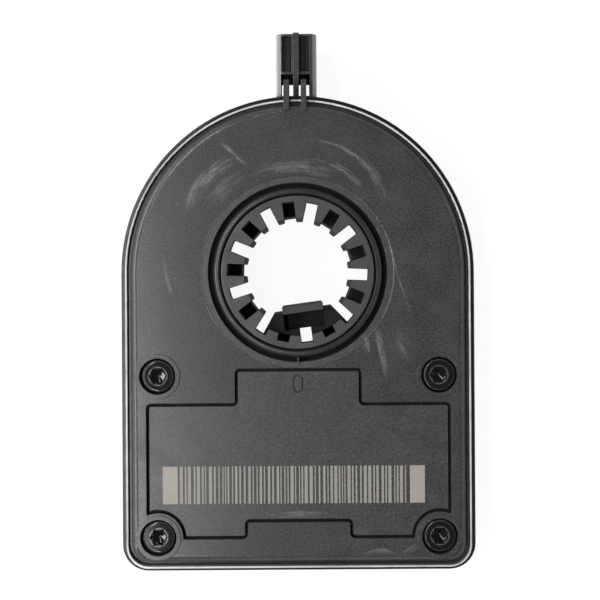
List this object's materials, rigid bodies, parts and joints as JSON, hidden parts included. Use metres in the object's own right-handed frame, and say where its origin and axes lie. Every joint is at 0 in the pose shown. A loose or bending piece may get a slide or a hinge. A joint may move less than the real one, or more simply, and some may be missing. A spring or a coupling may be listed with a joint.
{
  "type": "steering angle sensor",
  "caption": "Arch-shaped sensor housing with a slotted turning hub, two measuring gears inside, a screwed rear cover and a narrow plug socket at the top.",
  "frame": {"origin": "on the hub's axis, in the plane of the front face that the housing rests on", "axes": "+Z along the hub's axis, out of the rear cover; +Y from the hub to the mouth of the plug socket"},
  "size_m": [0.0758, 0.1156, 0.0186],
  "materials": {
    "housing_plastic": "fine moulded grain",
    "cover_plastic": "fine moulded grain, lightly scuffed",
    "hub_plastic": "moulded satin",
    "gear_plastic": "moulded satin",
    "magnet": "sintered",
    "board": "solder mask",
    "chip_plastic": "moulded matt",
    "capacitor_can": "drawn",
    "ceramic": "fired",
    "tin": "tinned",
    "screw_steel": "black passivated"
  },
  "bodies": {
    "housing": {"front_housing": "housing_plastic", "rear_cover": "cover_plastic", "circuit_board": "board", "angle_chip_a": "chip_plastic", "angle_chip_b": "chip_plastic", "controller_chip": "chip_plastic", "bus_transceiver": "chip_plastic", "voltage_regulator": "chip_plastic", "resonator": "tin", "buffer_capacitor": "capacitor_can", "capacitor_1": "ceramic", "capacitor_2": "ceramic", "capacitor_3": "ceramic", "capacitor_4": "ceramic", "terminal_pin_1": "tin", "terminal_pin_2": "tin", "terminal_pin_3": "tin", "terminal_pin_4": "tin", "terminal_pin_5": "tin", "terminal_pin_6": "tin", "cover_screw_1": "screw_steel", "cover_screw_2": "screw_steel", "cover_screw_3": "screw_steel", "cover_screw_4": "screw_steel"},
    "hub": {"hub": "hub_plastic"},
    "gear_a": {"measuring_gear_a": "gear_plastic", "magnet_a": "magnet"},
    "gear_b": {"measuring_gear_b": "gear_plastic", "magnet_b": "magnet"}
  },
  "joints": [
    {"name": "hub_spin", "type": "hinge", "parent": "housing", "child": "hub", "pos_m": [0, 0, 0], "axis": [0, 0, 1], "continuous": true},
    {"name": "gear_a_spin", "type": "hinge", "parent": "housing", "child": "gear_a", "pos_m": [-0.01014, -0.02786, 0], "axis": [0, 0, 1], "continuous": true},
    {"name": "gear_b_spin", "type": "hinge", "parent": "housing", "child": "gear_b", "pos_m": [0.01034, -0.02693, 0], "axis": [0, 0, 1], "continuous": true}
  ],
  "couplings": [
    {"joint": "gear_a_spin", "follows": "hub_spin", "ratio": -2.0833},
    {"joint": "gear_b_spin", "follows": "hub_spin", "ratio": -2.2727}
  ]
}
